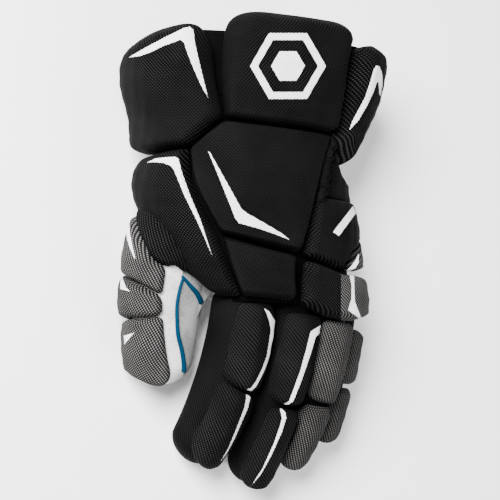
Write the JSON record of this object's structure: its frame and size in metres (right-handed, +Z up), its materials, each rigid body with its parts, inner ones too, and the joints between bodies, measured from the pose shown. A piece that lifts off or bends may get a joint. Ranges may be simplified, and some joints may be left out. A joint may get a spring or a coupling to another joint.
{
  "type": "lacrosse glove",
  "caption": "Padded field glove for the left hand, with segmented foam pads over the back, fingers, thumb and cuff and a suede palm, open at the wrist.",
  "frame": {"origin": "middle of the glove's outline, on the surface that it lies on palm down", "axes": "+X from the thumb towards the little finger, +Y from the fingertips towards the cuff, +Z up out of the back of the hand"},
  "size_m": [0.18, 0.301, 0.0966],
  "materials": {
    "black_mesh": "matte woven mesh",
    "grey_mesh": "matte woven mesh",
    "suede": "brushed suede",
    "suede_dark": "brushed suede",
    "gusset": "smooth stretch knit",
    "piping": "satin cord"
  },
  "bodies": {
    "root": {"back_liner": "black_mesh", "cuff_pad_radial": "black_mesh", "cuff_pad_back": "black_mesh", "cuff_pad_outer": "black_mesh", "back_plate": "black_mesh", "thumb_side_plate": "black_mesh", "outer_plate": "black_mesh", "knuckle_plate_middle": "black_mesh", "index_pad_proximal": "black_mesh", "index_pad_distal": "black_mesh", "middle_pad_proximal": "black_mesh", "middle_pad_distal": "black_mesh", "outer_wedge_pad": "grey_mesh", "knuckle_plate_outer": "grey_mesh", "ring_pad_proximal": "grey_mesh", "ring_pad_distal": "grey_mesh", "little_pad_proximal": "grey_mesh", "little_pad_distal": "grey_mesh", "thumb_pad_base": "grey_mesh", "thumb_pad_middle": "grey_mesh", "thumb_pad_tip": "grey_mesh", "palm_leather": "suede", "thumb_sleeve": "suede", "web_gusset": "suede_dark", "index_gusset": "gusset", "middle_gusset": "gusset", "ring_gusset": "gusset", "little_gusset": "gusset", "thumb_piping": "piping", "web_piping": "piping"}
  },
  "joints": []
}
